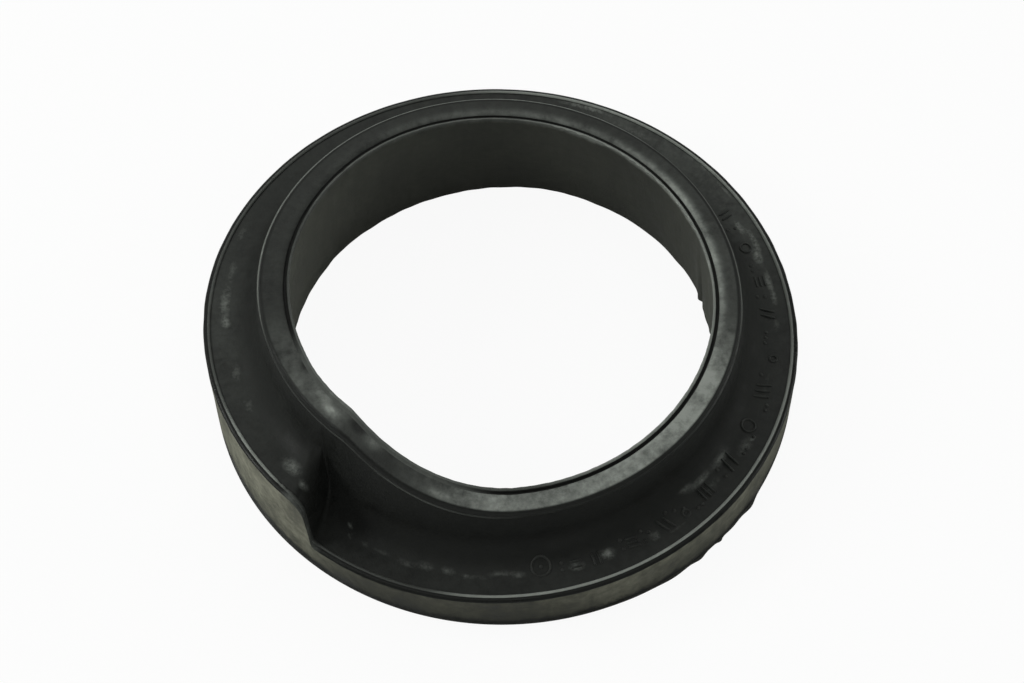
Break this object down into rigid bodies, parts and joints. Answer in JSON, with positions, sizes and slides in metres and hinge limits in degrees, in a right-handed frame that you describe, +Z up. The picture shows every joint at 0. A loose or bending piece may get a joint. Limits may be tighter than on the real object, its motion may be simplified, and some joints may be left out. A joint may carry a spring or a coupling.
{
  "type": "coil spring insulator",
  "caption": "Moulded rubber ring with a flat base, a helical trough that seats the last coil of a spring, a stop step and a raised collar.",
  "frame": {"origin": "centre of the flat base, on the ring's axis", "axes": "+Z up along the ring's axis; +X and +Y lie in the base, and the step stands about 230 degrees counter-clockwise from +X seen from above"},
  "size_m": [0.15, 0.15, 0.0458],
  "materials": {
    "rubber": "matt moulded rubber, dusty on the walls and satin in the trough"
  },
  "bodies": {
    "root": {"insulator": "rubber"}
  },
  "joints": []
}
